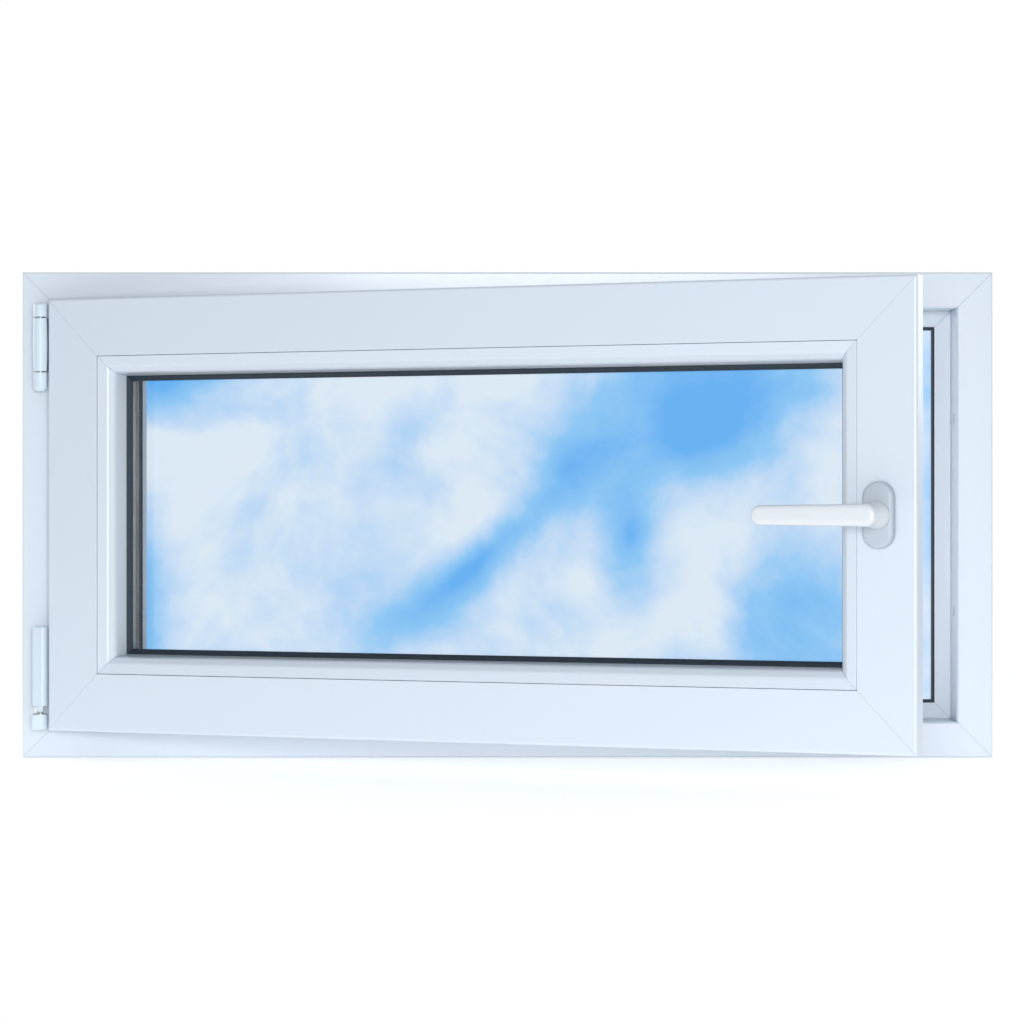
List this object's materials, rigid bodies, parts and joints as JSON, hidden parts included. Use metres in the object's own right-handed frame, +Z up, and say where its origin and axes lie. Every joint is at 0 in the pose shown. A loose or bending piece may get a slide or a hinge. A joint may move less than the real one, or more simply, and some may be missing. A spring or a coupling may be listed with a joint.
{
  "type": "tilt and turn window",
  "caption": "White PVC frame with one inward opening glazed sash, hinged on the left, that turns or tilts by one lever handle.",
  "frame": {"origin": "middle of the outer frame's underside, half way through the frame's depth", "axes": "+X to the right along the sill seen from the room, +Y from the room to the outside, +Z up"},
  "size_m": [1, 0.5377, 0.5],
  "materials": {
    "pvc_white": "satin white PVC",
    "cover_white": "satin",
    "rosette_grey": "satin",
    "handle_white": "satin powder coat",
    "rubber_black": "matt",
    "seal_black": "matt",
    "glass_clear": "clear",
    "spacer_aluminium": "satin",
    "block_blue": "matt",
    "steel_zinc": "bright zinc"
  },
  "bodies": {
    "frame": {"frame_sill": "pvc_white", "frame_head": "pvc_white", "frame_left_jamb": "pvc_white", "frame_right_jamb": "pvc_white", "frame_steel": "steel_zinc", "stop_gasket": "rubber_black", "drain_caps": "cover_white", "stay_bearing": "steel_zinc", "stay_bearing_top_cap": "cover_white", "stay_bearing_foot_cap": "cover_white", "stay_hinge_pin": "steel_zinc", "corner_bearing": "steel_zinc", "corner_bearing_cover": "cover_white", "head_strikers": "steel_zinc", "sill_strikers": "steel_zinc", "frame_screws": "steel_zinc"},
    "swivel": {"swivel_cup": "steel_zinc", "tilt_pin": "steel_zinc"},
    "stay": {"stay_arm": "steel_zinc", "stay_sleeve": "cover_white", "stay_guide_pin": "steel_zinc"},
    "sash": {"sash_bottom_rail": "pvc_white", "sash_top_rail": "pvc_white", "sash_hinge_stile": "pvc_white", "sash_lock_stile": "pvc_white", "sash_steel": "steel_zinc", "overlap_gasket": "rubber_black", "bead_bottom": "pvc_white", "bead_top": "pvc_white", "bead_left": "pvc_white", "bead_right": "pvc_white", "inner_glazing_gasket": "rubber_black", "outer_glazing_gasket": "rubber_black", "inner_pane": "glass_clear", "outer_pane": "glass_clear", "glazing_spacer": "spacer_aluminium", "edge_seal": "seal_black", "glazing_blocks": "block_blue", "corner_hinge": "steel_zinc", "corner_hinge_pin": "steel_zinc", "corner_hinge_cover": "cover_white", "stay_guide": "steel_zinc", "gear_faceplate": "steel_zinc", "top_faceplate": "steel_zinc", "bottom_faceplate": "steel_zinc", "gearbox_case": "steel_zinc", "top_corner_drive": "steel_zinc", "bottom_corner_drive": "steel_zinc", "sash_screws": "steel_zinc", "rosette_base": "rosette_grey", "rosette_cover": "rosette_grey", "rosette_screws": "steel_zinc"},
    "handle": {"handle_lever": "handle_white", "spindle": "steel_zinc", "drive_pinion": "steel_zinc"},
    "lock_gear": {"lock_rod": "steel_zinc"},
    "top_gear": {"top_rod": "steel_zinc", "top_cams": "steel_zinc"},
    "bottom_gear": {"bottom_rod": "steel_zinc", "bottom_cams": "steel_zinc"}
  },
  "joints": [
    {"name": "sash_turn", "type": "hinge", "parent": "frame", "child": "swivel", "pos_m": [-0.479, -0.055, 0.038], "axis": [0, 0, -1], "range_deg": [-26, 64]},
    {"name": "sash_tilt", "type": "hinge", "parent": "swivel", "child": "sash", "pos_m": [-0.479, -0.055, 0.0365], "axis": [0.8988, -0.4384, 0], "range_deg": [0, 10]},
    {"name": "stay_swing", "type": "hinge", "parent": "swivel", "child": "stay", "pos_m": [-0.479, -0.055, 0.4245], "axis": [0, 0, -1], "range_deg": [0, 12.7]},
    {"name": "handle_turn", "type": "hinge", "parent": "sash", "child": "handle", "pos_m": [0.35565, -0.42871, 0.25], "axis": [-0.4384, -0.8988, 0], "range_deg": [-90, 90]},
    {"name": "lock_rod_slide", "type": "slide", "parent": "sash", "child": "lock_gear", "axis": [0, 0, 1], "range_m": [-0.0178, 0.0178]},
    {"name": "top_rod_slide", "type": "slide", "parent": "sash", "child": "top_gear", "axis": [0.8988, -0.4384, 0], "range_m": [-0.0178, 0.0178]},
    {"name": "bottom_rod_slide", "type": "slide", "parent": "sash", "child": "bottom_gear", "axis": [0.8988, -0.4384, 0], "range_m": [-0.0178, 0.0178]}
  ],
  "couplings": [
    {"joint": "stay_swing", "follows": "sash_tilt", "ratio": 1.262},
    {"joint": "lock_rod_slide", "follows": "handle_turn", "m_per_rad": 0.0112},
    {"joint": "top_rod_slide", "follows": "handle_turn", "m_per_rad": -0.0112},
    {"joint": "bottom_rod_slide", "follows": "handle_turn", "m_per_rad": 0.0112}
  ]
}
